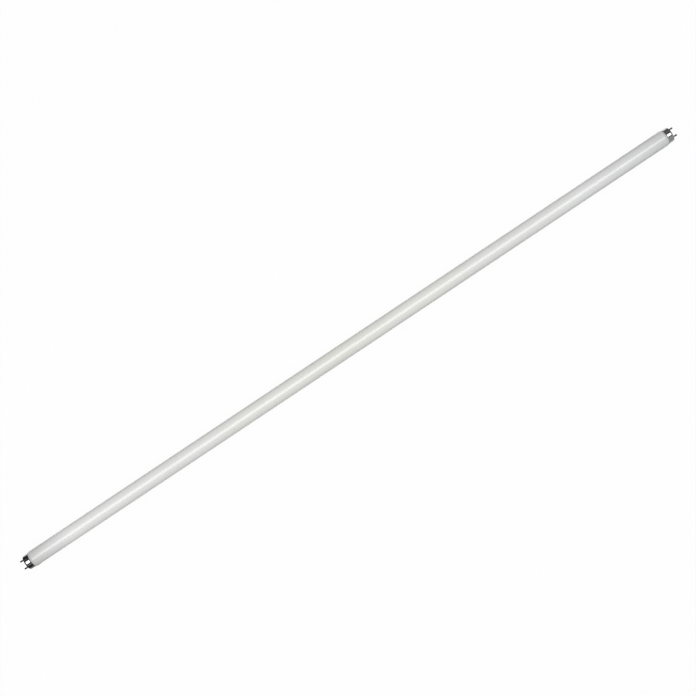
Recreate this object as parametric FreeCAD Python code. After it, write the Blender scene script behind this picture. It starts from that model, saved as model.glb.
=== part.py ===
import FreeCAD, Part
import math
import os
from FreeCAD import Placement, Rotation, Vector

# A straight fluorescent lamp, 26 mm across and 1.2 m long, with a two-pin cap at each end.
# The lamp lies along X with its middle at the origin. Both pairs of pins lie in the XY plane,
# so the front pins are on the -Y side, the rear pins on the +Y side, and +Z is up.
# An end is drawn with its cap face at x = 0 and depth into the lamp along +X.
# All sizes are in millimetres.

# Whole lamp
face_to_face = 1199.4
tube_diameter = 26.0
pin_spacing = 12.7

# Glass: one sealed piece, opaque with its coating, with a hollow stem run back into each end
shoulder_radius = 6.8
neck_chamfer = 0.7
flare_land = 2.4
stem_straight = 12.0
exhaust_radius = 1.9
exhaust_sink = 0.8
exhaust_taper = 1.6

# Drawn metal cap shell
cap_length = 10.4
cap_step = 1.15
cap_wall = 0.35
cap_corner_bands = 3

# Insulating disc, which seats behind the flat face of the shell and carries the pins
disc_thickness = 2.1
disc_seat = 0.4
pin_to_shell = 0.85

# Contact pins, hollow, with a shoulder before the disc and a shank riveted through it
pin_diameter = 2.35
pin_length = 7.1
pin_wall = 0.45
pin_shoulder = 0.2
pin_tip_wall = 0.6
pin_tip_land = 0.1
pin_tip_bands = 2
rivet_width = 0.8
rivet_thickness = 0.4

# Lead wires, drawn from the stem through the pins to their tips
wire_diameter = 0.6
wire_gap = 0.4
wire_hole_clearance = 0.05

# Cement between the neck of the glass and the shell
cement_thickness = 0.6
rim_clearance = 0.05
end_gap = 1.5

# Radii and depths that follow from the sizes above
half_length = face_to_face / 2
tube_radius = tube_diameter / 2
pin_offset = pin_spacing / 2
pin_radius = pin_diameter / 2
shank_radius = pin_radius - pin_shoulder
wire_radius = wire_diameter / 2
cap_radius = tube_radius - cap_step
cap_inner_radius = cap_radius - cap_wall
neck_radius = cap_inner_radius - cement_thickness
opening_radius = pin_offset + pin_radius + pin_to_shell
face_radius = opening_radius + disc_seat
cap_corner_radius = cap_radius - face_radius
disc_rear = cap_wall + disc_thickness
pin_rear = disc_rear + rivet_thickness
glass_end = pin_rear + end_gap
lead_offset = exhaust_radius + wire_gap + wire_radius
stem_radius = lead_offset + wire_radius + wire_gap
flare_radius = neck_radius - flare_land - stem_radius
flare_end = glass_end + flare_radius
stem_floor = flare_end + stem_straight
exhaust_tip = glass_end + exhaust_sink

AXIS = Vector(1, 0, 0)
UP = Vector(0, 0, 1)
ORIGIN = Vector(0, 0, 0)
ENDS = {
    "left": Placement(Vector(-half_length, 0, 0), Rotation()),
    "right": Placement(Vector(half_length, 0, 0), Rotation(UP, 180)),
}
FRONT, REAR = -1, 1


def at(depth, radius):
    """A point of a turned outline."""
    return Vector(depth, 0, radius)


def lines(*points):
    """The straight edges that join points in turn."""
    return [Part.LineSegment(a, b).toShape() for a, b in zip(points, points[1:])]


def arc(a, b, centre):
    """The shorter arc from a to b about centre."""
    middle = a + b - centre * 2
    middle.normalize()
    curve = Part.Arc(a, centre + middle * (a - centre).Length, b)
    return curve.toBSpline().toShape()


def rounding(centre, radius, bands):
    """The points of a quarter round in flat bands, from its side to its front."""
    angles = [math.pi / 2 * band / bands for band in range(bands + 1)]
    return [centre + at(-math.sin(angle), math.cos(angle)) * radius for angle in angles]


def turned(edges):
    """The solid that a closed outline sweeps in one turn about the lamp's axis."""
    outline = Part.Wire(Part.__sortEdges__(edges))
    solid = Part.Face(outline).revolve(ORIGIN, AXIS, 360)
    return solid if solid.Volume > 0 else solid.reversed()


def cylinder(radius, start, end, offset=0.0):
    """A cylinder along X from one depth to another, offset from the axis along Y."""
    return Part.makeCylinder(radius, end - start, Vector(start, offset, 0), AXIS)


class Shoulder:
    """The two tangent arcs by which the glass narrows from the tube to the neck.

    They meet at the depth of the shell's rim, where the glass just clears the shell's bore.
    """

    def __init__(self):
        rise = cement_thickness - rim_clearance
        drop = tube_radius - neck_radius - rise
        angle = math.acos(1 - drop / shoulder_radius)
        self.neck_arc_radius = shoulder_radius * rise / drop
        self.tube_end = cap_length + shoulder_radius * math.sin(angle)
        self.neck_start = cap_length - self.neck_arc_radius * math.sin(angle)

    def edges(self):
        """The arcs, from the tube to the neck."""
        meeting = at(cap_length, cap_inner_radius - rim_clearance)
        tube_centre = at(self.tube_end, tube_radius - shoulder_radius)
        neck_centre = at(self.neck_start, neck_radius + self.neck_arc_radius)
        return [
            arc(at(self.tube_end, tube_radius), meeting, tube_centre),
            arc(meeting, at(self.neck_start, neck_radius), neck_centre),
        ]


shoulder = Shoulder()


def neck_end():
    """The straight neck, its bevelled end and the flat land round the mouth of the flare."""
    return lines(
        at(shoulder.neck_start, neck_radius),
        at(glass_end + neck_chamfer, neck_radius),
        at(glass_end, neck_radius - neck_chamfer),
        at(glass_end, stem_radius + flare_radius),
    )


def stem():
    """The stem seen from outside: a trumpet-shaped flare, a bore and the sealed exhaust tube."""
    mouth = at(glass_end, stem_radius + flare_radius)
    throat = at(flare_end, stem_radius)
    bore = lines(
        throat,
        at(stem_floor, stem_radius),
        at(stem_floor, exhaust_radius),
        at(exhaust_tip + exhaust_taper, exhaust_radius),
        at(exhaust_tip, 0),
    )
    return [arc(mouth, throat, at(flare_end, mouth.z)), *bore]


def sealed_glass_tube():
    """The glass from end to end, turned from one end's outline, its mirror image and the tube."""
    end = shoulder.edges() + neck_end() + stem()
    left = [edge.translated(Vector(-half_length, 0, 0)) for edge in end]
    right = [edge.mirror(ORIGIN, AXIS) for edge in left]
    tube_end, tip = shoulder.tube_end - half_length, exhaust_tip - half_length
    tube = lines(at(tube_end, tube_radius), at(-tube_end, tube_radius))
    axis = lines(at(tip, 0), at(-tip, 0))
    return turned(left + right + tube + axis)


def cap_shell():
    """A drawn cup with a rounded corner and a round opening in its flat face."""
    centre = at(cap_corner_radius, face_radius)
    outside = rounding(centre, cap_corner_radius, cap_corner_bands)
    inside = rounding(centre, cap_corner_radius - cap_wall, cap_corner_bands)
    outline = [at(cap_length, cap_radius), *outside, at(0, opening_radius)]
    outline += [at(cap_wall, opening_radius), *reversed(inside), at(cap_length, cap_inner_radius)]
    return turned(lines(*outline, outline[0]))


def insulating_disc():
    """A disc with a hole for the shank of each pin, seated behind the face of the shell."""
    disc = cylinder(face_radius, cap_wall, disc_rear)
    for side in (FRONT, REAR):
        disc = disc.cut(cylinder(shank_radius, cap_wall, disc_rear, side * pin_offset))
    return disc


def contact_pin(side):
    """A hollow pin: a round tip, a shoulder before the disc and a riveted flange behind it."""
    tip, bore_end = -pin_length, pin_tip_wall - pin_length
    hole_radius = wire_radius + wire_hole_clearance
    bore_radius = pin_radius - pin_wall
    rivet_radius = shank_radius + rivet_width
    tip_radius = pin_radius - hole_radius - pin_tip_land
    tip_centre = at(tip + tip_radius, pin_radius - tip_radius)
    outline = [at(tip, hole_radius), *reversed(rounding(tip_centre, tip_radius, pin_tip_bands))]
    outline += [at(cap_wall, pin_radius), at(cap_wall, shank_radius), at(disc_rear, shank_radius)]
    outline += [at(disc_rear, rivet_radius), at(pin_rear, rivet_radius), at(pin_rear, bore_radius)]
    outline += [at(bore_end, bore_radius), at(bore_end, hole_radius)]
    return turned(lines(*outline, outline[0])).translated(Vector(0, side * pin_offset, 0))


def lead_wire(side):
    """A wire from the floor of the stem, out of the flare and through its pin to the tip."""
    bend = glass_end + flare_radius / 2
    route = [
        Vector(stem_floor, side * lead_offset, 0),
        Vector(bend, side * lead_offset, 0),
        Vector(pin_rear, side * pin_offset, 0),
        Vector(-pin_length, side * pin_offset, 0),
    ]
    section = Part.Wire(Part.makeCircle(wire_radius, route[0], AXIS))
    mitred = 1
    return Part.makePolygon(route).makePipeShell([section], True, False, mitred)


def cement_ring():
    """Fills the gap round the straight of the neck, from the shell's corner to the shoulder."""
    start = max(glass_end + neck_chamfer, cap_corner_radius)
    outside = cylinder(cap_inner_radius, start, shoulder.neck_start)
    return outside.cut(cylinder(neck_radius, start, shoulder.neck_start))


def cap(sides):
    """The pieces of one cap by name, given which way from the axis each named pin lies."""
    pieces = {
        "cap_shell": cap_shell(),
        "insulating_disc": insulating_disc(),
        "cement_ring": cement_ring(),
    }
    for name, side in sides.items():
        pieces[f"{name}_pin"] = contact_pin(side)
        pieces[f"{name}_lead_wire"] = lead_wire(side)
    return pieces


def build():
    """Every piece by name, in place on the lamp."""
    pieces = {"sealed_glass_tube": sealed_glass_tube()}
    for end, place in ENDS.items():
        turn = 1 if end == "left" else -1
        for name, piece in cap({"front": turn * FRONT, "rear": turn * REAR}).items():
            piece.Placement = place.multiply(piece.Placement)
            pieces[f"{end}_{name}"] = piece
    return pieces


os.makedirs("parts", exist_ok=True)
for name, shape in build().items():
    shape.exportStep(f"parts/{name}.step")
    print(f"{name}: {len(shape.Solids)} solid, {shape.Volume:.2f} mm3, valid {shape.isValid()}")
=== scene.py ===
import math

import bmesh
import bpy
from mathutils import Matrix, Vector


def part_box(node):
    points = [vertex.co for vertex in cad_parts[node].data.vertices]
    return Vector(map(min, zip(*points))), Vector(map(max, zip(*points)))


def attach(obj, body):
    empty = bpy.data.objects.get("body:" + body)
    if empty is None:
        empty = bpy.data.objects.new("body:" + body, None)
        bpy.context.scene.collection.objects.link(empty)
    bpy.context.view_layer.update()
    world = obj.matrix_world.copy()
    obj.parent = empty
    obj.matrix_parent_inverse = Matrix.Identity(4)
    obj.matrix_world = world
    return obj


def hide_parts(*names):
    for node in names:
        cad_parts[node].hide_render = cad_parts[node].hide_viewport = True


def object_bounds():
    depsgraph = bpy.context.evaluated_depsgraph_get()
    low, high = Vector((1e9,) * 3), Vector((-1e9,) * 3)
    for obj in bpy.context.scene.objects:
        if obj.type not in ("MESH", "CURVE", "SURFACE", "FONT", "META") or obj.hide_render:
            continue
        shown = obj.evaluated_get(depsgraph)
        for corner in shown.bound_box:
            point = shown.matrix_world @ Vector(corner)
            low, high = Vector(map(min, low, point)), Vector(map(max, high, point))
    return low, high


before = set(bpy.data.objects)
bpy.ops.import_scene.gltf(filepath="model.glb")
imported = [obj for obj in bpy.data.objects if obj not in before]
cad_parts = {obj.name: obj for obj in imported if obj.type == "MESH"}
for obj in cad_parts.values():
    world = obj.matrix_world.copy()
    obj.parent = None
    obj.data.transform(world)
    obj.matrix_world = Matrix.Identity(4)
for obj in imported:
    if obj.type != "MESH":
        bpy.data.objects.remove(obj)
cad_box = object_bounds()

# A fluorescent lamp lies along X on a white floor, and the camera looks straight down on it.
# An end is drawn with its cap face at depth 0, and depth runs into the lamp.
# Lengths are in metres, and named angles in degrees.
MM = 0.001

# Places and sizes that the frame gives
shell_low, shell_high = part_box("right_cap_shell")
_, glass_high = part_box("sealed_glass_tube")
disc_low, disc_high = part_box("right_insulating_disc")
pin_low, pin_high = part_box("right_rear_pin")
wire_low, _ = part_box("right_rear_lead_wire")
half_length = shell_high.x
tube_radius = glass_high.z
shell_radius = shell_high.z
shell_length = half_length - shell_low.x
disc_radius = disc_high.z
disc_front = half_length - disc_high.x
disc_rear = half_length - disc_low.x
glass_end = half_length - glass_high.x
pin_length = pin_high.x - half_length
pin_rear = half_length - pin_low.x
pin_offset = (pin_low.y + pin_high.y) / 2
stem_floor = half_length - wire_low.x
floor_level = cad_box[0].z

# Glass: its neck, its shoulder, the stem run back into each end and the band by each cap that holds the
# edge of its coating, a painted shade and a painted highlight
neck_radius = 10.9 * MM
neck_edge = 0.7 * MM
shoulder_radius = 6.8 * MM
rim_clearance = 0.05 * MM
stem_radius = 3.3 * MM
stem_corner = 0.5 * MM
mouth_radius = 5.2 * MM
exhaust_radius = 1.9 * MM
exhaust_foot = 0.3 * MM
exhaust_sink = 0.8 * MM
exhaust_taper = 1.6 * MM
exhaust_round = 1.2 * MM
cap_band_reach = 4 * MM
glass_segments = 192

# Rings along the straight tube, so that its faces aren't long slivers
ring_spacing = 25 * MM
ring_count = 23

# Cap shell, with a slightly flared rim
sheet = disc_front
opening_radius = 8.375 * MM
shell_corner = 3.07 * MM
shell_edge = 0.12 * MM
rim_flare = 0.36 * MM
rim_length = 1.6 * MM
rim_bend = 9 * MM

# Insulating disc
disc_edge = 0.12 * MM
disc_points = 128
hole_points = 40
sharp_angle = 40

# Contact pins
pin_radius = 1.175 * MM
pin_wall = 0.45 * MM
tip_wall = 0.6 * MM
tip_round = 0.75 * MM
tip_hole = 0.35 * MM
hole_edge = 0.05 * MM
pin_shoulder_edge = 0.08 * MM
shank_radius = 0.975 * MM
shank_corner = 0.03 * MM
rivet_radius = 1.775 * MM
rivet_front_edge = 0.12 * MM
rivet_rear_edge = 0.2 * MM
bore_mouth_edge = 0.1 * MM
bore_end_edge = 0.15 * MM
pin_segments = 64
pin_step = 12.0

# Lead wires, and the welds that hold them in the tips of the pins
wire_radius = 0.3 * MM
wire_segments = 20
lead_offset = wire_low.y + wire_radius
stem_bend = 2.2 * MM
pin_bend = 1.2 * MM
weld_height = 0.12 * MM
weld_margin = 0.12 * MM
weld_rings = 6

ENDS = {"left": -1, "right": 1}
SIDES = {"front": -1, "rear": 1}


def softened(corners, step=7.0):
    """The outline through corners of (depth, radius, fillet), each fillet in arcs of about step degrees."""
    outline = []
    for i, (depth, radius, fillet) in enumerate(corners):
        here = Vector((depth, radius))
        if fillet == 0:
            outline.append(here)
            continue
        before = Vector(corners[i - 1][:2]) - here
        after = Vector(corners[(i + 1) % len(corners)][:2]) - here
        before.normalize()
        after.normalize()
        half = before.angle(after) / 2
        centre = here + (before + after).normalized() * (fillet / math.sin(half))
        start = here + before * (fillet / math.tan(half)) - centre
        sweep = (here + after * (fillet / math.tan(half)) - centre).angle_signed(start)
        count = max(2, math.ceil(abs(math.degrees(sweep)) / step))
        for k in range(count + 1):
            turn = sweep * k / count
            cos, sin = math.cos(turn), math.sin(turn)
            spoke = Vector((start.x * cos - start.y * sin, start.x * sin + start.y * cos))
            outline.append(centre + spoke)
    return outline


def mesh_piece(name, build, material):
    """A smooth mesh object that build(bm) fills, with its faces turned outwards."""
    mesh = bpy.data.meshes.new(name)
    bm = bmesh.new()
    build(bm)
    bmesh.ops.recalc_face_normals(bm, faces=bm.faces)
    bm.to_mesh(mesh)
    bm.free()
    mesh.shade_smooth()
    mesh.materials.append(material)
    piece = bpy.data.objects.new(name, mesh)
    bpy.context.scene.collection.objects.link(piece)
    return piece


def turned(name, outline, material, offset=0.0, closed=True, segments=160):
    """The mesh that an outline of (x, radius) points sweeps round a line along X, offset in Y.

    An outline that isn't closed starts and ends on the line.
    """
    def build(bm):
        rings = []
        for x, radius in outline:
            if radius < 1e-9:
                rings.append([bm.verts.new((x, offset, 0))] * segments)
                continue
            angles = [2 * math.pi * k / segments for k in range(segments)]
            rings.append([
                bm.verts.new((x, offset + radius * math.sin(a), radius * math.cos(a))) for a in angles
            ])
        pairs = list(zip(rings, rings[1:]))
        if closed:
            pairs.append((rings[-1], rings[0]))
        for a, b in pairs:
            for k in range(segments):
                corners = [a[k - 1], a[k], b[k], b[k - 1]]
                bm.faces.new(list(dict.fromkeys(corners)))

    return mesh_piece(name, build, material)


def at_end(sign, outline):
    """An end's outline of (depth, radius) as (x, radius), at the left end for -1 or the right for 1."""
    return [(sign * (half_length - depth), radius) for depth, radius in outline]


def set_inputs(node, **values):
    """Set a node's inputs by name, with an underscore for a space."""
    for key, value in values.items():
        node.inputs[key.replace("_", " ")].default_value = value


def node_adder(tree):
    """A function that adds a node with settings (written small) and inputs (with a capital)."""
    def add(kind, **values):
        node = tree.nodes.new(kind)
        set_inputs(node, **{key: value for key, value in values.items() if key[0].isupper()})
        for key, value in values.items():
            if key[0].islower():
                setattr(node, key, value)
        return node

    return add


def new_material(name):
    """A node material: its shader, and functions that add a node and a link."""
    material = bpy.data.materials.new(name)
    material.use_nodes = True
    tree = material.node_tree
    shader = next(node for node in tree.nodes if node.type == "BSDF_PRINCIPLED")
    return material, shader, node_adder(tree), tree.links.new


def ramp(add, *stops):
    """A colour ramp with stops of (position, grey or colour)."""
    node = add("ShaderNodeValToRGB")
    elements = node.color_ramp.elements
    for i, (position, value) in enumerate(stops):
        element = elements[i] if i < 2 else elements.new(position)
        element.position = position
        element.color = (*value, 1) if isinstance(value, tuple) else (value, value, value, 1)
    return node


def noise(add, link, scale, detail=3.0, stretch=(1, 1, 1)):
    """Noise in the lamp's own space, with scale waves to a metre, slowed along each axis by stretch."""
    place = add("ShaderNodeTexCoord")
    mapping = add("ShaderNodeMapping", Scale=tuple(scale / s for s in stretch))
    texture = add("ShaderNodeTexNoise", Scale=1.0, Detail=detail)
    link(place.outputs["Object"], mapping.inputs["Vector"])
    link(mapping.outputs["Vector"], texture.inputs["Vector"])
    return texture.outputs["Fac"]


def mapped(add, link, value, low, high, start=0.0, end=1.0):
    """A value from start to end, mapped to low to high."""
    node = add("ShaderNodeMapRange", From_Min=start, From_Max=end, To_Min=low, To_Max=high)
    link(value, node.inputs["Value"])
    return node.outputs["Result"]


def multiplied(add, link, a, b):
    """Colour a times colour b."""
    node = add("ShaderNodeMix", data_type="RGBA", blend_type="MULTIPLY")
    node.inputs["Factor"].default_value = 1.0
    link(a, node.inputs["A"])
    link(b, node.inputs["B"])
    return node.outputs["Result"]


def bumped(add, link, height, distance):
    """The normal of a surface that the height lifts by up to that distance."""
    node = add("ShaderNodeBump", Distance=distance)
    link(height, node.inputs["Height"])
    return node.outputs["Normal"]


def along_lamp(add, link):
    """A point's X, and how far it lies from the lamp's middle along X."""
    place = add("ShaderNodeTexCoord")
    split = add("ShaderNodeSeparateXYZ")
    distance = add("ShaderNodeMath", operation="ABSOLUTE")
    link(place.outputs["Object"], split.inputs["Vector"])
    link(split.outputs["X"], distance.inputs[0])
    return split.outputs["X"], distance.outputs["Value"]


def coated_glass():
    """Clear glass over a white powder coating, with a darker ring by each cap, partly bare glass and partly
    painted shade, and a thin white ring by the cap that is a painted highlight.
    """
    material, shader, add, link = new_material("coated_glass")
    x, distance = along_lamp(add, link)
    along = mapped(add, link, x, 0, 1, -half_length, half_length)
    # Tone along the tube, with a faint drift in colour, darker over the last few centimetres towards each
    # end: partly the thinner coating there, partly painted shade where the highlight fades by the caps
    tint = ramp(
        add,
        (0.01, (0.65, 0.66, 0.645)),
        (0.03, (0.74, 0.75, 0.74)),
        (0.07, (0.86, 0.865, 0.855)),
        (0.2, (0.835, 0.84, 0.825)),
        (0.5, (0.81, 0.81, 0.765)),
        (0.85, (0.8, 0.81, 0.8)),
        (0.95, (0.75, 0.76, 0.755)),
        (0.99, (0.67, 0.68, 0.675)),
    )
    link(along, tint.inputs["Fac"])
    rim = half_length - shell_length
    by_cap = mapped(add, link, distance, 0, 1, rim - cap_band_reach, rim)
    # Plain coating first, then a darker ring, partly bare glass and partly painted shade, then a thin white
    # ring by the cap that is a painted highlight
    plain = 0.82
    bare_ring_and_painted_light = ramp(add, (0.0, plain), (0.45, 0.8), (0.66, 0.72), (0.76, 1.0))
    link(by_cap, bare_ring_and_painted_light.inputs["Fac"])
    to_plain = mapped(add, link, bare_ring_and_painted_light.outputs["Color"], 0, 1 / plain)
    clouds = ramp(add, (0.3, 0.975), (0.7, 1.0))
    link(noise(add, link, 60, 4, (3, 1, 1)), clouds.inputs["Fac"])
    powder = ramp(add, (0.35, 0.97), (0.65, 1.0))
    link(noise(add, link, 1800, 2), powder.inputs["Fac"])
    colour = multiplied(add, link, tint.outputs["Color"], to_plain)
    colour = multiplied(add, link, colour, clouds.outputs["Color"])
    colour = multiplied(add, link, colour, powder.outputs["Color"])
    link(colour, shader.inputs["Base Color"])
    link(mapped(add, link, noise(add, link, 90), 0.22, 0.3), shader.inputs["Roughness"])
    link(bumped(add, link, noise(add, link, 1500, 2), 0.02 * MM), shader.inputs["Normal"])
    link(bumped(add, link, noise(add, link, 70, 1, (6, 1, 1)), 0.05 * MM), shader.inputs["Coat Normal"])
    set_inputs(shader, Coat_Weight=1.0, Coat_Roughness=0.12, Coat_IOR=1.5, IOR=1.5)
    return material


def cap_metal():
    """Polished drawn aluminium, with fine rings round the cap and faint handling marks."""
    material, shader, add, link = new_material("cap_metal")
    shade = ramp(add, (0.3, (0.84, 0.84, 0.85)), (0.7, (0.9, 0.9, 0.9)))
    link(noise(add, link, 300), shade.inputs["Fac"])
    link(shade.outputs["Color"], shader.inputs["Base Color"])
    link(mapped(add, link, noise(add, link, 250, 4), 0.1, 0.16), shader.inputs["Roughness"])
    rings = noise(add, link, 5000, 2, (1, 40, 40))
    link(bumped(add, link, rings, 0.004 * MM), shader.inputs["Normal"])
    set_inputs(shader, Metallic=1.0)
    return material


def pin_metal():
    """Nickel-plated pins with fine rings from turning, grey by the cap and near black from their middle out
    to their tips.
    """
    material, shader, add, link = new_material("pin_metal")
    _, distance = along_lamp(add, link)
    to_tip = mapped(add, link, distance, 0, 1, half_length, half_length + pin_length)
    plating = ramp(
        add,
        (0.2, (0.36, 0.343, 0.31)),
        (0.5, (0.06, 0.057, 0.052)),
        (1.0, (0.04, 0.038, 0.035)),
    )
    link(to_tip, plating.inputs["Fac"])
    stains = ramp(add, (0.3, 0.65), (0.7, 1.0))
    link(noise(add, link, 900, 4), stains.inputs["Fac"])
    colour = multiplied(add, link, plating.outputs["Color"], stains.outputs["Color"])
    link(colour, shader.inputs["Base Color"])
    link(mapped(add, link, noise(add, link, 700), 0.18, 0.34), shader.inputs["Roughness"])
    link(bumped(add, link, noise(add, link, 6000, 2, (1, 30, 30)), 0.004 * MM), shader.inputs["Normal"])
    set_inputs(shader, Metallic=1.0)
    return material


def disc_board():
    """Dark brown pressed board, with short fibres in it."""
    material, shader, add, link = new_material("disc_board")
    shade = ramp(add, (0.3, (0.065, 0.04, 0.026)), (0.7, (0.115, 0.07, 0.044)))
    fibres = noise(add, link, 3500, 4, (1, 2.5, 1))
    link(fibres, shade.inputs["Fac"])
    link(shade.outputs["Color"], shader.inputs["Base Color"])
    link(mapped(add, link, fibres, 0.35, 0.6), shader.inputs["Roughness"])
    link(bumped(add, link, fibres, 0.02 * MM), shader.inputs["Normal"])
    return material


def cement():
    """Coarse baked cement."""
    material, shader, add, link = new_material("cement")
    grains = noise(add, link, 1600, 6)
    shade = ramp(add, (0.3, (0.42, 0.37, 0.29)), (0.7, (0.7, 0.65, 0.56)))
    link(grains, shade.inputs["Fac"])
    link(shade.outputs["Color"], shader.inputs["Base Color"])
    link(mapped(add, link, grains, 0.75, 0.95), shader.inputs["Roughness"])
    link(bumped(add, link, grains, 0.08 * MM), shader.inputs["Normal"])
    return material


def wire_metal():
    """Bare drawn wire, copper under a thin oxide."""
    material, shader, add, link = new_material("wire_metal")
    oxide = noise(add, link, 500, 5, (4, 1, 1))
    shade = ramp(add, (0.35, (0.25, 0.13, 0.08)), (0.65, (0.62, 0.36, 0.24)))
    link(oxide, shade.inputs["Fac"])
    link(shade.outputs["Color"], shader.inputs["Base Color"])
    link(mapped(add, link, oxide, 0.45, 0.25), shader.inputs["Roughness"])
    link(bumped(add, link, noise(add, link, 4000, 2, (8, 1, 1)), 0.005 * MM), shader.inputs["Normal"])
    set_inputs(shader, Metallic=1.0)
    return material


MATERIALS = {
    make.__name__: make()
    for make in (coated_glass, cap_metal, pin_metal, disc_board, cement, wire_metal)
}


def fit(piece, slot, *nodes):
    """Ride the lamp's body and stand for these CAD nodes, which it hides; slot is not used."""
    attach(piece, "root")
    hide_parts(*nodes)


def glass_tube():
    """The glass from end to end: tube, shoulders, necks and the stem run back into each end.

    A shoulder is two arcs, which meet at the shell's rim, on the line between its two corners.
    """
    meeting = shell_radius - sheet - rim_clearance
    drop = tube_radius - meeting
    slope = math.acos(1 - drop / shoulder_radius)
    upper = shell_length + drop / math.tan(slope)
    lower = shell_length - (meeting - neck_radius) / math.tan(slope)
    neck_bend = shoulder_radius * (meeting - neck_radius) / drop
    straight = [(ring * ring_spacing, tube_radius, 0) for ring in range(ring_count, 0, -1)]
    exhaust_tip = glass_end + exhaust_sink
    end = softened([
        *straight,
        (upper, tube_radius, shoulder_radius),
        (lower, neck_radius, neck_bend),
        (glass_end, neck_radius, neck_edge),
        (glass_end, stem_radius, mouth_radius),
        (stem_floor, stem_radius, stem_corner),
        (stem_floor, exhaust_radius, exhaust_foot),
        (exhaust_tip + exhaust_taper, exhaust_radius, exhaust_round),
        (exhaust_tip, 0, 0),
    ])
    outline = at_end(-1, reversed(end)) + at_end(1, end)
    piece = turned("glass_tube", outline, MATERIALS["coated_glass"], closed=False, segments=glass_segments)
    fit(piece, "coated_glass", "sealed_glass_tube")


def cap_shell(end, sign):
    """A drawn cup with a rounded corner and a slightly flared rim."""
    inner_radius = shell_radius - sheet
    bend = shell_length - rim_length
    outline = softened([
        (shell_length, shell_radius + rim_flare, shell_edge),
        (bend, shell_radius, rim_bend),
        (0, shell_radius, shell_corner),
        (0, opening_radius, shell_edge),
        (sheet, opening_radius, shell_edge),
        (sheet, inner_radius, shell_corner - sheet),
        (bend, inner_radius, rim_bend),
        (shell_length, inner_radius + rim_flare, shell_edge),
    ])
    piece = turned(f"{end}_shell", at_end(sign, outline), MATERIALS["cap_metal"])
    fit(piece, "cap_metal", f"{end}_cap_shell")


def flat_disc(name):
    """The mesh of an insulating disc that still lies flat, drawn as a bevelled curve."""
    curve = bpy.data.curves.new(name, "CURVE")
    curve.dimensions = "2D"
    curve.fill_mode = "BOTH"
    curve.extrude = (disc_rear - disc_front) / 2 - disc_edge
    curve.bevel_depth = disc_edge
    curve.bevel_resolution = 3
    circles = [
        (0, disc_radius - disc_edge, disc_points),
        (pin_offset, shank_radius + disc_edge, hole_points),
        (-pin_offset, shank_radius + disc_edge, hole_points),
    ]
    for centre, radius, count in circles:
        spline = curve.splines.new("POLY")
        spline.points.add(count - 1)
        spline.use_cyclic_u = True
        for k, point in enumerate(spline.points):
            angle = 2 * math.pi * k / count
            point.co = (centre + radius * math.cos(angle), radius * math.sin(angle), 0, 1)
    flat = bpy.data.objects.new("flat", curve)
    bpy.context.scene.collection.objects.link(flat)
    bpy.context.view_layer.update()
    mesh = bpy.data.meshes.new_from_object(flat)
    bpy.data.objects.remove(flat)
    return mesh


def insulating_disc(end, sign):
    """A pressed disc with softened edges and a hole for the shank of each pin."""
    name = f"{end}_disc"
    mesh = flat_disc(name)
    middle = sign * (half_length - (disc_front + disc_rear) / 2)
    for vertex in mesh.vertices:
        across, up, through = vertex.co
        vertex.co = (middle + through, across, up)

    def build(bm):
        bm.from_mesh(mesh)
        bmesh.ops.remove_doubles(bm, verts=bm.verts, dist=1e-7)

    piece = mesh_piece(name, build, MATERIALS["disc_board"])
    piece.data.set_sharp_from_angle(angle=math.radians(sharp_angle))
    fit(piece, "disc_board", f"{end}_insulating_disc")


def contact_pin(end, sign, side, y):
    """A hollow pin with a round tip, a shoulder before the disc and a riveted flange behind it."""
    tip = weld_height - pin_length
    bore_radius = pin_radius - pin_wall
    outline = softened([
        (tip, tip_hole, hole_edge),
        (tip, pin_radius, tip_round),
        (disc_front, pin_radius, pin_shoulder_edge),
        (disc_front, shank_radius, shank_corner),
        (disc_rear, shank_radius, hole_edge),
        (disc_rear, rivet_radius, rivet_front_edge),
        (pin_rear, rivet_radius, rivet_rear_edge),
        (pin_rear, bore_radius, bore_mouth_edge),
        (tip + tip_wall, bore_radius, bore_end_edge),
        (tip + tip_wall, tip_hole, hole_edge),
    ], step=pin_step)
    name, points = f"{end}_{side}_contact", at_end(sign, outline)
    piece = turned(name, points, MATERIALS["pin_metal"], offset=y, segments=pin_segments)
    fit(piece, "pin_metal", f"{end}_{side}_pin")


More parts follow.
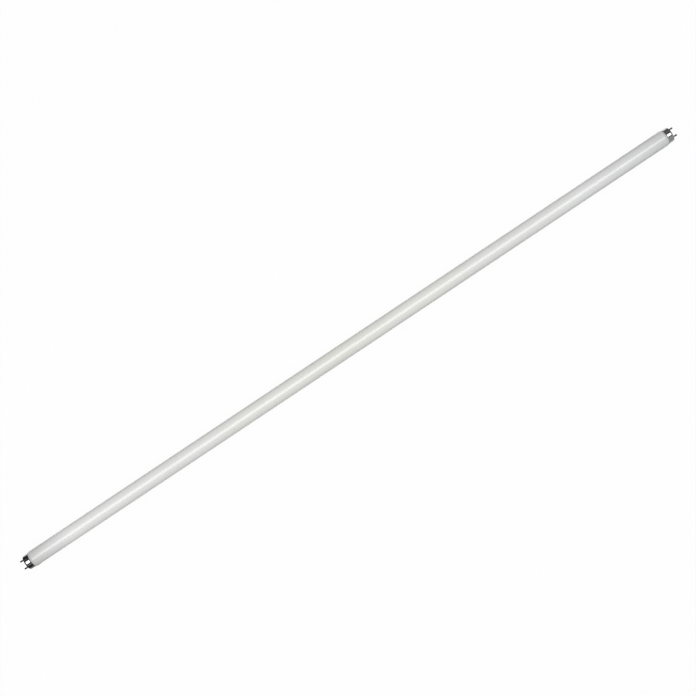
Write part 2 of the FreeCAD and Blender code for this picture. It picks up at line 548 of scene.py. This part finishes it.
def lead_wire(end, sign, side, y):
    """A round wire from the stem through its pin, with a small weld over the tip of the pin."""
    outward = math.copysign(1, y)
    route = softened([
        (stem_floor, lead_offset, 0),
        (glass_end + mouth_radius / 2, lead_offset, stem_bend),
        (pin_rear + pin_bend, pin_offset, pin_bend),
        (weld_height / 2 - pin_length, pin_offset, 0),
    ])
    weld_radius = tip_hole + weld_margin
    quarter = [math.radians(90 * k / weld_rings) for k in range(1, weld_rings + 1)]
    weld = [(-pin_length + weld_height * (1 - math.cos(a)), weld_radius * math.sin(a)) for a in quarter]

    def ring(bm, depth, offset, tilt, radius):
        """A circle of vertices in the YZ plane, turned about Z by tilt, in radians."""
        centre = Vector((sign * (half_length - depth), outward * offset, 0))
        across = Vector((sign * math.sin(tilt), outward * math.cos(tilt), 0))
        angles = [2 * math.pi * k / wire_segments for k in range(wire_segments)]
        return [bm.verts.new(centre + radius * (across * math.cos(a) + Vector((0, 0, math.sin(a)))))
                for a in angles]

    def build(bm):
        rings = []
        for i, here in enumerate(route):
            before, after = route[max(i - 1, 0)], route[min(i + 1, len(route) - 1)]
            run = after - before
            rings.append(ring(bm, here.x, here.y, math.atan2(run.y, -run.x), wire_radius))
        for depth, radius in reversed(weld):
            rings.append(ring(bm, depth, pin_offset, 0, radius))
        for a, b in zip(rings, rings[1:]):
            for k in range(wire_segments):
                bm.faces.new([a[k - 1], a[k], b[k], b[k - 1]])
        bm.faces.new(rings[0])
        bm.faces.new(rings[-1])

    piece = mesh_piece(f"{end}_{side}_wire", build, MATERIALS["wire_metal"])
    fit(piece, "wire_metal", f"{end}_{side}_lead_wire")


glass_tube()
for end, sign in ENDS.items():
    cap_shell(end, sign)
    insulating_disc(end, sign)
    for side, way in SIDES.items():
        contact_pin(end, sign, side, way * pin_offset)
        lead_wire(end, sign, side, way * pin_offset)
    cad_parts[f"{end}_cement_ring"].data.materials[0] = MATERIALS["cement"]


# The studio: a white floor, a long softbox overhead and grey cards round the lamp, which only
# reflections show. A quadrant's cards are set by its end and its side of the lamp.
floor_reach = 20
background_share = 0.94
floor_white = 0.9
floor_shade = 0.34
ambient = 0.72
softbox_height = 1.0
softbox_width = 0.44
softbox_length = 2.1
softbox_radiance = 1.55

# The walls, from the floor up, and the outer floor, in one grey that is faintly green at the front
card_height = 1.0
card_distance = 0.46
card_reach = 1.1
card_lift = 0.5 * MM
card_shade = {(-1, -1): 0.02, (-1, 1): 0.02, (1, -1): 0.27, (1, 1): 0.075}
card_tint = {-1: (0.95, 1.0, 0.96), 1: (1.0, 1.0, 1.0)}

# Just before the side walls: a dark hood above, a dark brow at the top and a strip further down
card_step = 0.01
hood_start = 0.82
hood_height = {(-1, -1): 1.05, (-1, 1): 1.25, (1, -1): 1.5, (1, 1): 1.65}
brow_start = 0.76
brow_height = 0.75
dark_shade = 0.02
strip_height = 0.38
strip_width = 0.07
strip_shade = {(-1, -1): 0.45, (-1, 1): 0.15, (1, -1): 0.27, (1, 1): 0.22}

# On the floor: beside the tube, and a patch close under each cap
body_gap = 0.026
body_shade = 0.05
near_shade = {(-1, -1): 0.19, (-1, 1): 0.72, (1, -1): 0.6, (1, 1): 0.7}
near_width = {(-1, -1): 0.09, (-1, 1): 0.044, (1, -1): 0.036, (1, 1): 0.055}
near_start = 0.585
apron_start = 0.61

# The camera: straight above the lamp, which runs up to the right as in the photo
camera_height = 2.4
frame_width = 1.0779
lamp_slant = 33.68
frame_shift = (-0.0007, 0.0006)


def seen_directly(add, link):
    """1 for rays that should meet the background itself: camera, glossy and transmission rays."""
    path = add("ShaderNodeLightPath")
    seen = path.outputs["Is Camera Ray"]
    for output in ("Is Glossy Ray", "Is Transmission Ray"):
        either = add("ShaderNodeMath", operation="MAXIMUM")
        link(seen, either.inputs[0])
        link(path.outputs[output], either.inputs[1])
        seen = either.outputs["Value"]
    return seen


def white_world():
    """White where it is seen, and a dimmer, even light on the lamp."""
    world = bpy.data.worlds.new("studio")
    world.use_nodes = True
    bpy.context.scene.world = world
    tree = world.node_tree
    add, link = node_adder(tree), tree.links.new
    background = tree.nodes["Background"]
    set_inputs(background, Color=(1, 1, 1, 1))
    link(mapped(add, link, seen_directly(add, link), ambient, 1.0), background.inputs["Strength"])


def panel(name, corner, opposite, material):
    """A flat rectangle, level or upright, between two opposite corners."""
    (x0, y0, z0), (x1, y1, z1) = corner, opposite
    if z0 == z1:
        corners = [(x0, y0, z0), (x1, y0, z0), (x1, y1, z0), (x0, y1, z0)]
    else:
        corners = [(x0, y0, z0), (x1, y1, z0), (x1, y1, z1), (x0, y0, z1)]
    mesh = bpy.data.meshes.new(name)
    mesh.from_pydata(corners, [], [(0, 1, 2, 3)])
    mesh.materials.append(material)
    flat = bpy.data.objects.new(name, mesh)
    bpy.context.scene.collection.objects.link(flat)
    return flat


def floor():
    """A wide white floor that keeps a faint shadow beside the lamp and throws little light on it."""
    material, shader, add, link = new_material("floor")
    seen = seen_directly(add, link)
    link(mapped(add, link, seen, floor_shade, floor_white), shader.inputs["Base Color"])
    set_inputs(shader, Roughness=0.9, Specular_IOR_Level=0.0)
    glow = add("ShaderNodeEmission", Strength=1.0)
    mix = add("ShaderNodeMixShader")
    link(mapped(add, link, seen, 0.0, background_share), mix.inputs["Fac"])
    link(shader.outputs["BSDF"], mix.inputs[1])
    link(glow.outputs["Emission"], mix.inputs[2])
    output = next(node for node in material.node_tree.nodes if node.type == "OUTPUT_MATERIAL")
    link(mix.outputs["Shader"], output.inputs["Surface"])
    near, far = (-floor_reach, -floor_reach, floor_level), (floor_reach, floor_reach, floor_level)
    panel("floor", near, far, material)


def card(name, corner, opposite, tint, shade):
    """A panel that only reflections show, of that tint and as bright as shade."""
    material, shader, *_ = new_material(name)
    set_inputs(shader, Base_Color=(0, 0, 0, 1), Roughness=1.0, Specular_IOR_Level=0.0,
               Emission_Color=(*tint, 1), Emission_Strength=shade)
    flat = panel(name, corner, opposite, material)
    flat.visible_camera = flat.visible_diffuse = flat.visible_shadow = False
    flat.visible_transmission = False


def quadrant_cards(end, side):
    """The cards of one quadrant, which lies towards one end and one side of the lamp."""
    shade = card_shade[end, side]
    level = floor_level + card_lift
    reach, near, apron = end * card_reach, end * near_start, end * apron_start
    wall, body, patch = side * card_distance, side * body_gap, side * near_width[end, side]
    inner, hood = wall - side * card_step, hood_height[end, side]
    low, high = strip_height - strip_width / 2, strip_height + strip_width / 2
    cards = {
        "side_wall": ((0, wall, level), (reach, wall, card_height), shade),
        "end_wall": ((reach, 0, level), (reach, wall, card_height), shade),
        "hood": ((end * hood_start, inner, card_height), (reach, inner, hood), dark_shade),
        "brow": ((end * brow_start, inner, brow_height), (reach, inner, card_height), dark_shade),
        "body_floor": ((0, body, level), (near, wall, level), body_shade),
        "near_floor": ((near, 0, level), (apron, patch, level), near_shade[end, side]),
        "far_floor": ((near, patch, level), (reach, wall, level), shade),
        "apron": ((apron, 0, level), (reach, patch, level), shade),
        "strip": ((0, inner, low), (reach, inner, high), strip_shade[end, side]),
    }
    for part, (corner, opposite, grey) in cards.items():
        card(f"{part}_{end}_{side}", corner, opposite, card_tint[side], grey)


def softbox(name, location, size, radiance):
    """A rectangular light of that radiance, facing down, which the camera doesn't see."""
    light = bpy.data.lights.new(name, "AREA")
    light.shape = "RECTANGLE"
    light.size, light.size_y = size
    light.energy = radiance * math.pi * size[0] * size[1]
    source = bpy.data.objects.new(name, light)
    source.location = location
    source.visible_camera = False
    bpy.context.scene.collection.objects.link(source)


def studio():
    """The world, the floor, the softbox and the four quadrants' cards."""
    white_world()
    floor()
    softbox("softbox", (0, 0, softbox_height), (softbox_length, softbox_width), softbox_radiance)
    for end, side in card_shade:
        quadrant_cards(end, side)


def camera():
    """The scene's camera, with a lens that shows frame_width at the lamp's axis."""
    data = bpy.data.cameras.new("camera")
    data.lens = data.sensor_width * camera_height / frame_width
    data.shift_x, data.shift_y = frame_shift
    viewer = bpy.data.objects.new("camera", data)
    viewer.location = (0, 0, camera_height)
    viewer.rotation_euler = (0, 0, -math.radians(lamp_slant))
    bpy.context.scene.collection.objects.link(viewer)
    bpy.context.scene.camera = viewer


studio()
camera()
bpy.context.scene.view_settings.view_transform = "Standard"
